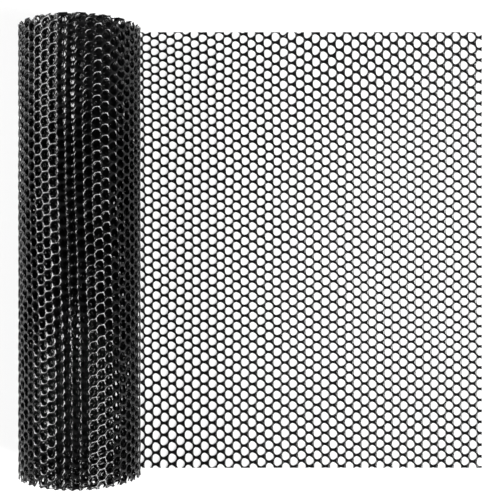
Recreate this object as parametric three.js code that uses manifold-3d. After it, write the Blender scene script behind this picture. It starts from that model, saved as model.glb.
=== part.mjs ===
// A roll of plastic chicken wire: one length of black hexagonal net, wound on itself around an
// open middle. It lies on its side, with its outer end run out flat from under it.
// Millimetres, +Z up. The roll's axis runs along Y and the loose end runs along +X. The origin is
// the middle of the footprint, on the surface that the net lies on.

import * as THREE from 'three';
import { mergeVertices } from 'three/addons/utils/BufferGeometryUtils.js';
import Module from 'manifold-3d';

const wasm = await Module();
wasm.setup();

// Driving dimensions
const netWidth = 400; // across the net, which is the length of the roll
const netLength = 3000; // wound part and loose end together
const netThickness = 1.5; // over the joints of the strands
const looseLength = 361.5; // from under the roll's axis to the cut edge
const rollRadius = 54.4; // outside of the outermost turn, where the loose end leaves it
const turnPitch = 2.5; // from one turn to the next, air between them included
const flatSpotDepth = 0.4; // how far the roll is pressed flat where it rests
const turnGapDepth = 5; // how far the air between the turns is cut into each end of the roll
const pieceGap = 0.3; // between the roll and the loose end
const stepsPerTurn = 36;

// The middle of the net winds inwards from its mean radius by one pitch a turn. The length of that
// spiral is quadratic in the angle, and the wound length of net gives the angle where it ends.
const fullTurn = 2 * Math.PI;
const meanRadius = rollRadius - netThickness / 2;
const woundLength = netLength - looseLength;
const endRadius = Math.sqrt(meanRadius ** 2 - (turnPitch * woundLength) / Math.PI);
const windingAngle = ((meanRadius - endRadius) * fullTurn) / turnPitch;

const axisHeight = rollRadius - flatSpotDepth;
const flatSpotAngle = Math.acos(axisHeight / rollRadius);
const turnGap = turnPitch - netThickness;
const leftReach = outerRadius(fullTurn / 4);
const axisX = (leftReach - looseLength) / 2;

// Winding angles start under the axis and turn towards -X, up, over and down again.
function outerRadius(angle) {
  return rollRadius - (turnPitch * angle) / fullTurn;
}

function innerRadius(angle) {
  return outerRadius(angle) - netThickness;
}

function sectionPoint(radius, angle) {
  return new THREE.Vector2(-radius * Math.sin(angle), -radius * Math.cos(angle));
}

// The start and end angle, with the whole steps that lie between them.
function anglesBetween(start, end) {
  const step = fullTurn / stepsPerTurn;
  const nearlyNothing = step / 1000;
  const angles = [start];
  for (let angle = Math.ceil(start / step) * step; angle < end - nearlyNothing; angle += step) {
    if (angle > start + nearlyNothing) {
      angles.push(angle);
    }
  }
  angles.push(end);
  return angles;
}

function spiralPoints(radiusAt, start, end) {
  return anglesBetween(start, end).map((angle) => sectionPoint(radiusAt(angle), angle));
}

// The outline follows the outermost turn, from the flat spot once around to the step where the
// next turn passes over the loose end. The middle follows the inside of the innermost turn, and
// as a hole it runs the other way round.
function rollSection() {
  const section = new THREE.Shape([
    new THREE.Vector2(0, -axisHeight),
    sectionPoint(rollRadius, flatSpotAngle),
    ...spiralPoints(outerRadius, flatSpotAngle, fullTurn).slice(1),
  ]);
  const middle = spiralPoints(innerRadius, windingAngle - fullTurn, windingAngle);
  section.holes.push(new THREE.Path(middle.reverse()));
  return section;
}

// The air between the turns is one spiral strip, from the step under the roll to its middle.
function turnGapSection() {
  const insideOfGap = spiralPoints(outerRadius, fullTurn, windingAngle);
  const outsideOfGap = spiralPoints((angle) => outerRadius(angle) + turnGap, fullTurn, windingAngle);
  return new THREE.Shape([...insideOfGap, ...outsideOfGap.reverse()]);
}

function extrude(section, start, end) {
  const geometry = new THREE.ExtrudeGeometry(section, { depth: end - start, bevelEnabled: false });
  return geometry.translate(0, 0, start);
}

function toSolid(geometry) {
  const bare = geometry.clone();
  bare.deleteAttribute('normal');
  bare.deleteAttribute('uv');
  const merged = mergeVertices(bare, 1e-5);
  return new wasm.Manifold(
    new wasm.Mesh({
      numProp: 3,
      vertProperties: new Float32Array(merged.attributes.position.array),
      triVerts: new Uint32Array(merged.index.array),
    }),
  );
}

function toGeometry(solid) {
  const { vertProperties, triVerts } = solid.getMesh();
  const geometry = new THREE.BufferGeometry();
  geometry.setAttribute('position', new THREE.BufferAttribute(vertProperties, 3));
  geometry.setIndex(new THREE.BufferAttribute(triVerts, 1));
  geometry.computeVertexNormals();
  return geometry;
}

function blackPlastic(roughness) {
  return new THREE.MeshStandardMaterial({ color: 0x151516, roughness, metalness: 0 });
}

function makeWoundRoll() {
  const halfWidth = netWidth / 2;
  const gapBottom = halfWidth - turnGapDepth;
  const body = toSolid(extrude(rollSection(), -halfWidth, halfWidth));
  const frontGap = toSolid(extrude(turnGapSection(), gapBottom, halfWidth));
  const backGap = toSolid(extrude(turnGapSection(), -halfWidth, -gapBottom));
  const roll = body.subtract(frontGap).subtract(backGap);
  const mesh = new THREE.Mesh(toGeometry(roll), blackPlastic(0.35));
  mesh.name = 'wound_roll';
  mesh.position.set(axisX, 0, axisHeight);
  mesh.rotation.x = Math.PI / 2;
  return mesh;
}

function makeLooseEnd() {
  const length = looseLength - pieceGap;
  const mesh = new THREE.Mesh(
    new THREE.BoxGeometry(length, netWidth, netThickness),
    blackPlastic(0.4),
  );
  mesh.name = 'loose_end';
  mesh.position.set(axisX + pieceGap + length / 2, 0, netThickness / 2);
  return mesh;
}

const chickenWireRoll = new THREE.Group();
chickenWireRoll.add(makeWoundRoll(), makeLooseEnd());

export default chickenWireRoll;
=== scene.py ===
# A roll of plastic chicken wire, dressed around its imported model. One length of black hexagonal
# net lies out flat as the loose end, passes under the roll and winds inwards in about ten turns.
# Metres, in the model's frame: the roll's axis runs along Y and the loose end along +X.
import math
from collections import namedtuple

import bmesh
import bpy
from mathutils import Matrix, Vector


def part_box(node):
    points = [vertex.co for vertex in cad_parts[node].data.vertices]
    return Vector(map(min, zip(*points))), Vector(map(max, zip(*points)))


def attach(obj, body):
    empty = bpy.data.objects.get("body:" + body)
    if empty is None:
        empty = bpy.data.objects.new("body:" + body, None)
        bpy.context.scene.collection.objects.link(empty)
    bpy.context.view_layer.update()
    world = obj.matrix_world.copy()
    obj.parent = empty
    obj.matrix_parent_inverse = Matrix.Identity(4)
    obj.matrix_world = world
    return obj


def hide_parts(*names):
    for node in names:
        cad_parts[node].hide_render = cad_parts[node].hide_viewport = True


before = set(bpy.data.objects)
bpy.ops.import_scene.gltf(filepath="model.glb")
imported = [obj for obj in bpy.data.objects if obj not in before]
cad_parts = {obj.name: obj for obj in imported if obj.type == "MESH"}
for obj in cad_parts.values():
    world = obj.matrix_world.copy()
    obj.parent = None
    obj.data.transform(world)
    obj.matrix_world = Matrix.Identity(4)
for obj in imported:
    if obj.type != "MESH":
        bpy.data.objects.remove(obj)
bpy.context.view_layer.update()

# The camera looks straight down on the roll from a little over a metre, through a long lens.
# Its place is over the middle of the photograph, where the loose end's width fills 435 of the
# 500 pixels and the roll's near side, 107 mm higher, fills 479.
CAMERA_HEIGHT = 1.163
CAMERA_X = -0.0052
LENS = 91.1

camera_data = bpy.data.cameras.new("overhead_camera")
camera_data.lens = LENS
camera_data.sensor_width = 36.0
camera = bpy.data.objects.new("overhead_camera", camera_data)
camera.location = (CAMERA_X, 0.0, CAMERA_HEIGHT)
bpy.context.collection.objects.link(camera)
bpy.context.scene.camera = camera

# The loose end is the net as it comes off the roll, laid flat with its inner face up. The net is
# extruded polyethylene: two sets of strands about 1.3 mm thick, melted together in short bars,
# which leaves round holes and a thicker web at one end of every bar.
MM = 0.001
TURN_PITCH = 2.5 * MM
NET_THICKNESS = 1.5 * MM
LOOSE_LENGTH = 361.5 * MM
FLAT_SPOT_DEPTH = 0.4 * MM

# The radius of the winding falls evenly, so on the roll's left side, a quarter of a turn from
# where it starts, it has lost a quarter of the pitch.
roll_low, roll_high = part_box("wound_roll")
end_low, end_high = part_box("loose_end")
NET_WIDTH = roll_high.y - roll_low.y
AXIS_X = end_high.x - LOOSE_LENGTH
OUTER_RADIUS = (AXIS_X - roll_low.x) + TURN_PITCH / 4
MIDDLE_RADIUS = OUTER_RADIUS - NET_THICKNESS / 2
AXIS_Z = OUTER_RADIUS - FLAT_SPOT_DEPTH

# The holes stand in columns across the net, every other one half a row up. The start is the
# middle of one hole, as far past the axis and off the middle of the net's width as on the real one.
COLUMN_PITCH = 7.39 * MM
ROW_PITCH = 9.195 * MM
START_X = 151.3 * MM
START_Y = 3.6 * MM
FIRST_ROW = -23
ROWS = 48
HOLE_RADIUS = 3.44 * MM
HOLE_POINTING = 0.23 * MM

# The net is two sets of strands, one laid on the other and melted together in the bars. Seen on
# the loose end, the strands that lean to the right lie on top. Both sets run on through the bar,
# so each face shows one ridge that crosses it aslant. Where the strands part again, at the bar's
# right end, a web of plastic fills the fork and slopes down to the hole in two flat cheeks.
# A rise is a height over the middle of the net's thickness, or a depth under it. A shoulder lies
# some share of the way from the middle of a strand to the hole.
NEAR_RISE = 0.74 * MM
FAR_RISE = 0.30 * MM
RIDGE_RISE = 0.72 * MM
FLANK_RISE = 0.34 * MM
WEB_RISE = 0.43 * MM
ROUNDED = 0.8
RIDGE_SLANT = 0.7 * MM
STRAND_SHOULDER = 0.6
BAR_SHOULDER = 0.5
WEB_SHOULDER = 0.66
FINE_PLACES = 18
FEW_PLACES = 6

Place = namedtuple("Place", "x y on_bar upper lower upper_shoulder lower_shoulder shoulder_share")


def cell_ring():
    """The places round one hole where it meets the cells around it: where each lies, how far
    along its bar it is from -1 to 1, the rises of both faces and of their shoulders on this
    side, and the shoulders' share of the way to the hole."""
    across = COLUMN_PITCH / 3
    up = ROW_PITCH / 2
    near_shoulder = NEAR_RISE * ROUNDED
    far_shoulder = FAR_RISE * ROUNDED
    strand_on_top = (NEAR_RISE, FAR_RISE, near_shoulder, far_shoulder, STRAND_SHOULDER)
    strand_beneath = (FAR_RISE, NEAR_RISE, far_shoulder, near_shoulder, STRAND_SHOULDER)
    upper_ridge_here = (NEAR_RISE, NEAR_RISE, RIDGE_RISE, FLANK_RISE, BAR_SHOULDER)
    lower_ridge_here = (NEAR_RISE, NEAR_RISE, FLANK_RISE, RIDGE_RISE, BAR_SHOULDER)
    joint = (NEAR_RISE, NEAR_RISE, near_shoulder, near_shoulder, STRAND_SHOULDER)
    web = (NEAR_RISE, NEAR_RISE, WEB_RISE, WEB_RISE, WEB_SHOULDER)
    corners = [
        (2 * across, 0.0, -1, joint, strand_beneath, strand_beneath),
        (across, up, 1, joint, lower_ridge_here, upper_ridge_here),
        (-across, up, -1, joint, strand_on_top, strand_on_top),
        (-2 * across, 0.0, 1, web, strand_beneath, strand_beneath),
        (-across, -up, -1, joint, lower_ridge_here, upper_ridge_here),
        (across, -up, 1, joint, strand_on_top, strand_on_top),
    ]
    ring = []
    for index, (x, y, bar_end, corner, first, second) in enumerate(corners):
        next_x, next_y = corners[(index + 1) % len(corners)][:2]
        ring.append(Place(x, y, bar_end, *corner))
        for share, strand in ((1 / 3, first), (2 / 3, second)):
            along = x + share * (next_x - x)
            on_bar = along / across if y == next_y else 0.0
            ring.append(Place(along, y + share * (next_y - y), on_bar, *strand))
    return ring


# Straight lines between few places would make a round hole smaller, so its edge is drawn wider.
WIDENED = {FINE_PLACES: 1.008, FEW_PLACES: 1.155}


def make_cell(name, around, profile):
    """One hole of the net with the half strands around it, as a ring of quads.

    around is how many places the ring has. profile lists the steps across half a strand, each
    by the part of the strand and its side, 1 up or -1 down.
    """
    ring = cell_ring()[:: FINE_PLACES // around]
    verts = []
    for part, side in profile:
        for place in ring:
            angle = math.atan2(place.y, place.x)
            radius = (HOLE_RADIUS + HOLE_POINTING * math.cos(3 * angle)) * WIDENED[around]
            middle = place.upper if side > 0 else place.lower
            shoulder = place.upper_shoulder if side > 0 else place.lower_shoulder
            share = {"middle": 0.0, "shoulder": place.shoulder_share, "edge": 1.0}[part]
            rise = {"middle": middle, "shoulder": shoulder, "edge": 0.0}[part]
            slant = place.on_bar * side * RIDGE_SLANT if part == "middle" else 0.0
            x = place.x + share * (radius * math.cos(angle) - place.x)
            y = place.y + share * (radius * math.sin(angle) - place.y) + slant
            verts.append((x, y, side * rise))
    faces = []
    for step in range(len(profile) - 1):
        for index in range(around):
            here = step * around + index
            along = step * around + (index + 1) % around
            faces.append((here, here + around, along + around, along))
    mesh = bpy.data.meshes.new(name)
    mesh.from_pydata(verts, [], faces)
    if mesh.polygons[0].normal.z * profile[0][1] < 0:
        mesh.flip_normals()
    webs = [index for index, place in enumerate(ring) if place.shoulder_share == WEB_SHOULDER]
    cheeks = [index - beside for index in webs for beside in (0, 1)]
    smooth = [polygon.index not in cheeks for polygon in mesh.polygons]
    mesh.polygons.foreach_set("use_smooth", smooth)
    return mesh


class Wire:
    """One output of a node. Sums written on it add Math nodes to its tree."""

    def __init__(self, bench, socket):
        self.bench = bench
        self.socket = socket

    def math(self, operation, *others):
        sockets = dict(enumerate((self, *others)))
        return self.bench.add("ShaderNodeMath", {"operation": operation}, sockets)

    def __add__(self, other):
        return self.math("ADD", other)

    def __sub__(self, other):
        return self.math("SUBTRACT", other)

    def __rsub__(self, other):
        return (self * -1.0).math("ADD", other)

    def __mul__(self, other):
        return self.math("MULTIPLY", other)

    def __truediv__(self, other):
        return self.math("DIVIDE", other)

    __radd__ = __add__
    __rmul__ = __mul__


class Bench:
    """A node tree that is being put together."""

    def __init__(self, tree):
        self.tree = tree

    def add(self, kind, settings=None, sockets=None, output=0):
        node = self.tree.nodes.new(kind)
        for name, value in (settings or {}).items():
            setattr(node, name, value)
        for name, value in (sockets or {}).items():
            if isinstance(value, Wire):
                self.tree.links.new(value.socket, node.inputs[name])
            else:
                node.inputs[name].default_value = value
        return Wire(self, node.outputs[output])

    def split(self, vector):
        node = self.add("ShaderNodeSeparateXYZ", None, {0: vector}).socket.node
        return [Wire(self, output) for output in node.outputs]

    def point(self, x, y, z):
        return self.add("ShaderNodeCombineXYZ", None, {0: x, 1: y, 2: z})


def new_geometry_tree(name, inputs):
    """An empty Geometry Nodes tree with these inputs, and a wire from each of them."""
    tree = bpy.data.node_groups.new(name, "GeometryNodeTree")
    tree.interface.new_socket("Geometry", in_out="INPUT", socket_type="NodeSocketGeometry")
    tree.interface.new_socket("Geometry", in_out="OUTPUT", socket_type="NodeSocketGeometry")
    for label, kind in inputs.items():
        tree.interface.new_socket(label, in_out="INPUT", socket_type=kind)
    bench = Bench(tree)
    entry = tree.nodes.new("NodeGroupInput")
    wires = {socket.name: Wire(bench, socket) for socket in entry.outputs if socket.name}
    return bench, wires


def finish_geometry_tree(bench, geometry, material):
    realized = bench.add("GeometryNodeRealizeInstances", None, {0: geometry})
    covered = bench.add("GeometryNodeSetMaterial", None, {"Geometry": realized, "Material": material})
    leave = bench.tree.nodes.new("NodeGroupOutput")
    bench.tree.links.new(covered.socket, leave.inputs[0])


def make_net_tree():
    """Lays copies of one cell in columns, every other one half a row up, welds them and moves
    them out of their even pattern."""
    bench, given = new_geometry_tree(
        "hexagonal_net",
        {
            "Columns": "NodeSocketInt",
            "First Column": "NodeSocketInt",
            "Rows": "NodeSocketInt",
            "First Row": "NodeSocketInt",
            "Column Pitch": "NodeSocketFloat",
            "Row Pitch": "NodeSocketFloat",
            "Start": "NodeSocketVector",
            "Weld": "NodeSocketFloat",
            "Material": "NodeSocketMaterial",
        },
    )
    last_column = given["Columns"] - 1.0
    last_row = given["Rows"] - 1.0
    grid = bench.add(
        "GeometryNodeMeshGrid",
        None,
        {0: last_column, 1: last_row, 2: given["Columns"], 3: given["Rows"]},
    )
    grid_x, grid_y, _ = bench.split(bench.add("GeometryNodeInputPosition"))
    column = (grid_x + last_column * 0.5 + given["First Column"]).math("ROUND")
    row = (grid_y + last_row * 0.5 + given["First Row"]).math("ROUND")
    half_step = column.math("PINGPONG", 1.0) * 0.5
    start_x, start_y, _ = bench.split(given["Start"])
    place = bench.point(
        column * given["Column Pitch"] + start_x,
        (row + half_step) * given["Row Pitch"] + start_y,
        0.0,
    )
    points = bench.add("GeometryNodeSetPosition", None, {"Geometry": grid, "Position": place})
    cells = bench.add(
        "GeometryNodeInstanceOnPoints", None, {"Points": points, "Instance": given["Geometry"]}
    )
    single = bench.add("GeometryNodeRealizeInstances", None, {0: cells})
    welded = bench.add(
        "GeometryNodeMergeByDistance", None, {"Geometry": single, "Distance": given["Weld"]}
    )
    x, y, z = bench.split(bench.add("GeometryNodeInputPosition"))
    swayed = bench.add(
        "GeometryNodeSetPosition",
        None,
        {"Geometry": welded, "Position": bench.point(*sway(bench, x, y), z)},
    )
    finish_geometry_tree(bench, swayed, given["Material"])
    return bench.tree


def over(value, limit, blend):
    """How far value lies over limit, rounded off where it starts."""
    return (value - limit).math("SMOOTH_MAX", 0.0, blend)


def eased(bench, value, start, end):
    """Goes smoothly from 0 at start to 1 at end."""
    settings = {"interpolation_type": "SMOOTHSTEP"}
    return bench.add("ShaderNodeMapRange", settings, {0: value, 1: start, 2: end})


def winding_angle(wound):
    """How far round the roll a length of net reaches, from under the axis."""
    end_radius = (MIDDLE_RADIUS**2 - wound * (TURN_PITCH / math.pi)).math("SQRT")
    return (MIDDLE_RADIUS - end_radius) * (math.tau / TURN_PITCH)


def turns_under(angle):
    """How many turns in from the outermost one this is, counted at the roll's top."""
    return (angle * (1 / math.tau) - 0.5).math("MAXIMUM", 0.0)


# Every turn takes two columns of holes fewer than the one outside it, so the holes of one turn
# lie over those of the next. The winding squeezes the columns a little for that.
COLUMNS_TO_AXIS = 46
COLUMNS_LOST = 2


def squeezed(flat_length):
    """How much shorter the net up to a flat length becomes on the roll, and the angle it reaches."""
    start = COLUMN_PITCH * COLUMNS_TO_AXIS / math.tau
    loss = COLUMN_PITCH * COLUMNS_LOST / math.tau / math.tau / 2
    angle = (start - (start * start - flat_length * (4 * loss)).math("SQRT")) / (2 * loss)
    length = angle * MIDDLE_RADIUS - angle * angle * (TURN_PITCH / 4 / math.pi)
    return flat_length - length, angle


# The net's back edge is the one at +Y, and its front edge the one at -Y. What moves the net out
# of its even pattern starts softly, over about this distance.
SOFT_START = 40 * MM


def edge_pull(x, angle, on_roll):
    """Which edge the winding pulled at, from -1 for the front edge to 1 for the back one. On the
    loose end it changes slowly along the net, and on the roll it comes back with every turn."""
    back_pull_x = 270 * MM
    pull_length = 560 * MM
    turn_pull_mean = 0.1
    turn_pull_change = 0.75
    laid_pull = ((x - back_pull_x) * (math.tau / pull_length)).math("COSINE")
    turn_pull = turn_pull_mean - angle.math("SINE") * turn_pull_change
    return laid_pull + (turn_pull - laid_pull) * on_roll


def stretched_edges(bench, y, length, pull, on_roll):
    """How far the pull moves the rows along the back edge, and those along the front edge."""
    back_rows = 132 * MM
    back_stretch = 0.155
    back_stretch_on_roll = 0.05
    front_rows = 107 * MM
    front_stretch = 0.134
    front_give = 0.04
    tight_length = 160 * MM
    tightening = 0.75
    back = over(y, back_rows, SOFT_START) * (pull * back_stretch + on_roll * back_stretch_on_roll)
    slack = 1.0 - eased(bench, length, 0.0, tight_length) * tightening
    front = over(y * -1.0, front_rows, SOFT_START) * (front_give * pull - front_stretch) * slack
    return back, front


def uneven_end(x, y):
    """How far the corner of the loose end is stretched across the net, how far the columns lean
    along the back edge, and how far they crowd together towards the cut edge."""
    corner_x = 300 * MM
    corner_y = 90 * MM
    corner_stretch = 0.00071 / MM
    leaning_y = 100 * MM
    lean = -0.0166
    crowded_x = 243 * MM
    crowding = -0.044
    corner = over(x, corner_x, SOFT_START) * over(y, corner_y, SOFT_START) * corner_stretch
    leaning = over(y, leaning_y, SOFT_START) * lean
    crowded = over(x, crowded_x, SOFT_START) * crowding
    return corner, leaning, crowded


def squeezed_columns(length, squeeze):
    """How far the columns move along the net as the winding squeezes them. The first half turn
    gives a little of it back."""
    unsqueezed = 1.54 * MM
    unsqueezed_blend = 0.2 * MM
    half_turn_length = 170 * MM
    half_turn_blend = 20 * MM
    half_turn_give = 0.0065
    half_turn = over(length, 0.0, half_turn_blend) - over(length, half_turn_length, half_turn_blend)
    return over(squeeze, unsqueezed, unsqueezed_blend) - half_turn * half_turn_give


def skewed_columns(bench, y, length, angle):
    """How far the columns lean over on the roll, in a long S from end to end that is deepest on
    its upper left side."""
    s_reach = 115 * MM
    s_depth = 3.85 * MM
    deepest_angle = math.radians(110)
    depth_mean = 0.65
    depth_change = 0.35
    skew_start = -40 * MM
    skew_full = 110 * MM
    height = y.math("MINIMUM", s_reach).math("MAXIMUM", -s_reach)
    skew = (height * (math.pi / (2 * s_reach))).math("SINE") * s_depth
    skewed = skew * (depth_mean + (angle - deepest_angle).math("COSINE") * depth_change)
    return skewed * eased(bench, length, skew_start, skew_full)


def slipped_turns(bench, y, turns_in, loose_turns):
    """How far the columns and the rows of the deeper turns have slipped. Every turn slips a little
    more near both ends of the roll, and those under the first two slip all over."""
    front_slip = 2.4 * MM
    front_slip_start = 10 * MM
    front_slip_full = 110 * MM
    back_slip = 2.0 * MM
    back_slip_start = 80 * MM
    back_slip_full = 150 * MM
    front_end_start = 135 * MM
    front_end_full = 180 * MM
    loose_slip = 3.3 * MM
    end_slip = 2.5 * MM
    end_slip_turns = 1.2
    end_row_slip = 1.3 * MM
    end_row_slip_turns = 0.8
    turn_blend = 0.4
    towards_front = y * -1.0
    front_end = eased(bench, towards_front, front_end_start, front_end_full)
    slip = eased(bench, towards_front, front_slip_start, front_slip_full) * front_slip
    slip = slip * (1.0 - front_end)
    slip = (slip + eased(bench, y, back_slip_start, back_slip_full) * back_slip) * turns_in
    slip = slip + loose_turns * loose_slip
    slip = slip + front_end * over(turns_in, end_slip_turns, turn_blend) * end_slip
    row_slip = front_end * over(turns_in, end_row_slip_turns, turn_blend) * end_row_slip
    return slip, row_slip


def sway(bench, x, y):
    """Where the flat net is drawn out of its even pattern. The winding pulled now at one edge and
    now at the other, so the rows near either edge are stretched by turns along the length, and
    the turns of the roll lie a little out of step."""
    roll_start = -10 * MM
    roll_full = 100 * MM
    tight_turns = 2.2
    tight_turns_blend = 0.5
    pull_drift = -0.85 * MM
    roll_drift = 5.8 * MM
    drift_start = -30 * MM
    drift_full = 190 * MM
    wander_scale = 18.0
    wander_all_over = 2.4 * MM
    wander_in_turn = 1.6 * MM
    most_loose_turns = 3.0

    length = x * -1.0
    squeeze, angle = squeezed(length.math("MAXIMUM", 0.0))
    on_roll = eased(bench, length, roll_start, roll_full)
    turns_in = turns_under(angle)
    loose_turns = over(turns_in, tight_turns, tight_turns_blend)
    pull = edge_pull(x, angle, on_roll)
    back, front = stretched_edges(bench, y, length, pull, on_roll)
    corner, leaning, crowded = uneven_end(x, y)
    closer = squeezed_columns(length, squeeze)
    skewed = skewed_columns(bench, y, length, angle)
    slip, row_slip = slipped_turns(bench, y, turns_in, loose_turns)
    drift = pull * pull_drift - eased(bench, length, drift_start, drift_full) * roll_drift
    noise = bench.add(
        "ShaderNodeTexNoise",
        {"noise_dimensions": "2D"},
        {"Vector": bench.point(x, y, 0.0), "Scale": wander_scale, "Detail": 1.0},
        output=1,
    )
    noise_x, noise_y, _ = bench.split(noise)
    wander = wander_all_over + loose_turns.math("MINIMUM", most_loose_turns) * wander_in_turn
    return (
        x + leaning + crowded + closer + skewed + slip + (noise_x - 0.5) * wander,
        y + back + front + corner + drift + row_slip + (noise_y - 0.5) * wander,
    )


net_tree = make_net_tree()


def make_winding_tree():
    """Lays the net on the floor as far as the roll's axis, and from there winds it inwards on a
    spiral. The flat net's X is its length past the axis, and its Z is up on the loose end."""
    bench, given = new_geometry_tree(
        "laid_and_wound_net",
        {
            "Middle Radius": "NodeSocketFloat",
            "Turn Pitch": "NodeSocketFloat",
            "Axis X": "NodeSocketFloat",
            "Axis Height": "NodeSocketFloat",
            "Rest Height": "NodeSocketFloat",
            "Material": "NodeSocketMaterial",
        },
    )
    spring_depth = 0.6 * MM
    spring_scale = 22.0
    spring_start = 20 * MM
    gap_kept = 0.8 * MM
    inner_gap_kept = 0.25 * MM
    innermost_turn = 9.8
    gap_blend = 0.5 * MM
    floor_blend = 0.4 * MM
    side_shrink = 0.016
    sideways_step = -1.2 * MM
    sideways_length = 60 * MM

    x, y, z = bench.split(bench.add("GeometryNodeInputPosition"))
    radius = given["Middle Radius"]
    pitch = given["Turn Pitch"]
    wound = (x * -1.0).math("MAXIMUM", 0.0)
    laid = x.math("MAXIMUM", 0.0)
    angle = winding_angle(wound)
    spring = bench.add(
        "ShaderNodeTexNoise",
        {"noise_dimensions": "2D"},
        {"Vector": bench.point(wound, y, 0.0), "Scale": spring_scale, "Detail": 1.0},
    )
    sprung = (wound * (1 / spring_start)).math("MINIMUM", 1.0)
    uneven = (spring - 0.5) * spring_depth * sprung
    turns_in = turns_under(angle)
    snug = (turns_in * gap_kept).math(
        "SMOOTH_MIN", (innermost_turn - turns_in) * inner_gap_kept, gap_blend
    )
    turn_radius = radius - angle * pitch / math.tau + uneven + snug
    sine = angle.math("SINE")
    cosine = angle.math("COSINE")
    height = (given["Axis Height"] - turn_radius * cosine).math(
        "SMOOTH_MAX", given["Rest Height"], floor_blend
    )
    drawn_in = 1.0 - sine * sine * side_shrink
    sideways = (wound * (1 / sideways_length)).math("MINIMUM", 1.0) * sideways_step
    place = bench.point(
        given["Axis X"] + laid - (turn_radius - z) * sine,
        y * drawn_in + sideways,
        height + z * cosine,
    )
    wound_net = bench.add(
        "GeometryNodeSetPosition", None, {"Geometry": given["Geometry"], "Position": place}
    )
    finish_geometry_tree(bench, wound_net, given["Material"])
    return bench.tree


winding_tree = make_winding_tree()


def applied(obj, tree, values):
    """Runs a Geometry Nodes tree on an object and keeps the result as its plain mesh."""
    modifier = obj.modifiers.new(tree.name, "NODES")
    modifier.node_group = tree
    for item in tree.interface.items_tree:
        if item.in_out == "INPUT" and item.name in values:
            modifier[item.identifier] = values[item.name]
    depsgraph = bpy.context.evaluated_depsgraph_get()
    depsgraph.update()
    result = bpy.data.meshes.new_from_object(obj.evaluated_get(depsgraph))
    obj.modifiers.clear()
    obj.data = result
    return obj


CUT_TOLERANCE = 1e-7


def cut_square(mesh, start, end):
    """Cuts the flat net straight across at both lengths and along both edges, and closes the cut
    strands with flat faces."""
    form = bmesh.new()
    form.from_mesh(mesh)
    half = NET_WIDTH / 2
    cuts = [
        ((start, 0, 0), (-1, 0, 0)),
        ((end, 0, 0), (1, 0, 0)),
        ((0, half, 0), (0, 1, 0)),
        ((0, -half, 0), (0, -1, 0)),
    ]
    for point, outwards in cuts:
        bmesh.ops.bisect_plane(
            form,
            geom=form.verts[:] + form.edges[:] + form.faces[:],
            dist=CUT_TOLERANCE,
            plane_co=point,
            plane_no=outwards,
            clear_outer=True,
        )
    rim = [edge for edge in form.edges if edge.is_boundary]
    ends = bmesh.ops.holes_fill(form, edges=rim, sides=0)["faces"]
    for face in ends:
        face.smooth = False
    form.to_mesh(mesh)
    form.free()


# More columns are laid than a stretch needs, because the sway moves them along the net.
SPARE_COLUMNS_BEFORE = 2
SPARE_COLUMNS_AFTER = 4
WELD_DISTANCE = 0.02 * MM


def make_net(name, start, end, around, profile, material):
    """One stretch of the net, from start to end past the axis, laid or wound into place."""
    first = math.floor((start - START_X) / COLUMN_PITCH) - SPARE_COLUMNS_BEFORE
    last = math.ceil((end - START_X) / COLUMN_PITCH) + SPARE_COLUMNS_AFTER
    obj = bpy.data.objects.new(name, make_cell(name, around, profile))
    bpy.context.collection.objects.link(obj)
    applied(
        obj,
        net_tree,
        {
            "Columns": last - first,
            "First Column": first,
            "Rows": ROWS,
            "First Row": FIRST_ROW,
            "Column Pitch": COLUMN_PITCH,
            "Row Pitch": ROW_PITCH,
            "Start": (START_X, START_Y, 0.0),
            "Weld": WELD_DISTANCE,
            "Material": material,
        },
    )
    cut_square(obj.data, start, end)
    applied(
        obj,
        winding_tree,
        {
            "Middle Radius": MIDDLE_RADIUS,
            "Turn Pitch": TURN_PITCH,
            "Axis X": AXIS_X,
            "Axis Height": AXIS_Z,
            "Rest Height": NET_THICKNESS / 2,
            "Material": material,
        },
    )
    obj.data.name = name
    return obj


def black_plastic():
    """Black polyethylene with a soft sheen, a little uneven along the strands."""
    least_roughness = 0.09
    roughness_change = 0.09
    material = bpy.data.materials.new("black_net_plastic")
    material.use_nodes = True
    bench = Bench(material.node_tree)
    shader = material.node_tree.nodes["Principled BSDF"]
    place = bench.add("ShaderNodeTexCoord", output="Object")
    cloud = bench.add("ShaderNodeTexNoise", None, {"Vector": place, "Scale": 260.0, "Detail": 3.0})
    roughness = least_roughness + cloud * roughness_change
    material.node_tree.links.new(roughness.socket, shader.inputs["Roughness"])
    grain = bench.add("ShaderNodeTexNoise", None, {"Vector": place, "Scale": 1500.0, "Detail": 2.0})
    bump = bench.add("ShaderNodeBump", None, {"Strength": 0.15, "Distance": 0.0001, "Height": grain})
    material.node_tree.links.new(bump.socket, shader.inputs["Normal"])
    shader.inputs["Base Color"].default_value = (0.003, 0.003, 0.0031, 1.0)
    shader.inputs["Specular IOR Level"].default_value = 0.3
    return material


net_plastic = black_plastic()

# The share of the net's flat area that its strands cover.
PLASTIC_SHARE = 0.46


def declare_net(obj, length, node):
    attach(obj, "root")
    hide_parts(node)
    NET_WIDTH * length * PLASTIC_SHARE


# The steps across half a strand. The side that is seen has the shoulders: the upper one on the
# loose end, and the one that faces outwards on the roll.
UPPER_FINE = [("middle", 1), ("shoulder", 1), ("edge", 1), ("middle", -1)]
OUTER_FINE = [("middle", -1), ("shoulder", -1), ("edge", 1), ("middle", 1)]
PLAIN = [("middle", -1), ("edge", 1), ("middle", 1)]

# The loose end is one run of net, made as two meshes that meet halfway.
for name, start, end in (
    ("near_net", 0.0, LOOSE_LENGTH / 2),
    ("far_net", LOOSE_LENGTH / 2, LOOSE_LENGTH),
):
    half_net = make_net(name, start, end, FINE_PLACES, UPPER_FINE, net_plastic)
    declare_net(half_net, end - start, "loose_end")

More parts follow.
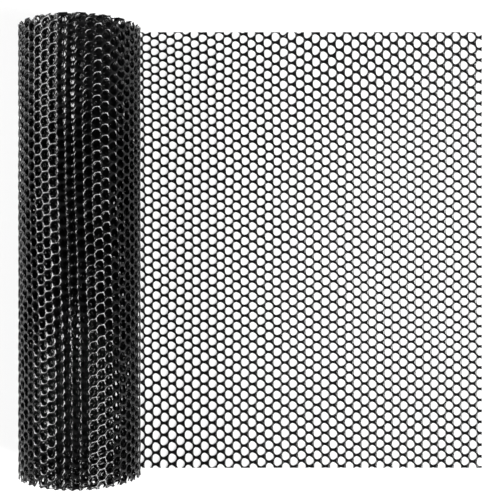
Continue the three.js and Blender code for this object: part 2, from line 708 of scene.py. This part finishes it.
# The roll is the same black net, wound up with its inner face inwards around an open middle and
# held by nothing. It is made turn by turn: the outermost turn carries the full form of the
# strands, and the ones behind it have fewer faces.
LAST_TURN = 10.298
TURNS = [
    ("turn_1_left_net", 0.0, 0.5, FINE_PLACES, OUTER_FINE),
    ("turn_1_right_net", 0.5, 1.0, FINE_PLACES, OUTER_FINE),
    ("turn_2_net", 1.0, 2.0, FINE_PLACES, PLAIN),
    ("turn_3_net", 2.0, 3.0, FINE_PLACES, PLAIN),
    ("middle_turns_net", 3.0, 6.0, FEW_PLACES, PLAIN),
    ("inner_turns_net", 6.0, LAST_TURN, FEW_PLACES, PLAIN),
]


def wound_length(turns):
    """The length of net in the outermost turns, from under the axis inwards."""
    return math.tau * turns * (MIDDLE_RADIUS - TURN_PITCH * turns / 2)


for name, first_turn, last_turn, around, profile in TURNS:
    start = wound_length(first_turn)
    end = wound_length(last_turn)
    turn = make_net(name, -end, -start, around, profile, net_plastic)
    declare_net(turn, end - start, "wound_roll")

# The floor is a plain pale board, and the light is that of a plain soft studio: a large soft box
# on either side and a bright room that darkens overhead.
FLOOR_SIZE = 14.0


def make_floor():
    mesh = bpy.data.meshes.new("floor")
    half = FLOOR_SIZE / 2
    mesh.from_pydata(
        [(-half, -half, 0), (half, -half, 0), (half, half, 0), (-half, half, 0)], [], [(0, 1, 2, 3)]
    )
    floor = bpy.data.objects.new("floor", mesh)
    bpy.context.collection.objects.link(floor)
    material = bpy.data.materials.new("pale_floor")
    material.use_nodes = True
    shader = material.node_tree.nodes["Principled BSDF"]
    shader.inputs["Base Color"].default_value = (0.26, 0.26, 0.26, 1.0)
    shader.inputs["Roughness"].default_value = 0.9
    shader.inputs["Specular IOR Level"].default_value = 0.0
    shader.inputs["Emission Color"].default_value = (1.0, 1.0, 1.0, 1.0)
    shader.inputs["Emission Strength"].default_value = 0.6
    mesh.materials.append(material)


PART_MIDDLE = Vector((0, 0, 0.03))


def make_soft_box(name, place, width, height, power):
    """A rectangular soft light that faces the middle of the part."""
    data = bpy.data.lights.new(name, "AREA")
    data.shape = "RECTANGLE"
    data.size = width
    data.size_y = height
    data.energy = power
    light = bpy.data.objects.new(name, data)
    light.location = place
    light.rotation_euler = (PART_MIDDLE - Vector(place)).to_track_quat("-Z", "Y").to_euler()
    bpy.context.collection.objects.link(light)


make_floor()
make_soft_box("left_soft_box", (-2.55, 0.36, 1.55), width=1.0, height=2.2, power=215.0)
make_soft_box("right_soft_box", (2.06, -0.85, 2.01), width=1.1, height=2.0, power=275.0)

LOW_BRIGHTNESS = 0.25
OVERHEAD_LOSS = 0.23
LOSS_START = 0.05
LOSS_END = 0.35

world = bpy.data.worlds.new("studio")
world.use_nodes = True
world_bench = Bench(world.node_tree)
background = world.node_tree.nodes["Background"]
direction = world_bench.add("ShaderNodeTexCoord", output="Generated")
_, _, up = world_bench.split(direction)
background.inputs["Color"].default_value = (1.0, 1.0, 1.0, 1.0)
brightness = LOW_BRIGHTNESS - eased(world_bench, up, LOSS_START, LOSS_END) * OVERHEAD_LOSS
world.node_tree.links.new(brightness.socket, background.inputs["Strength"])
bpy.context.scene.world = world
bpy.context.scene.view_settings.view_transform = "Standard"
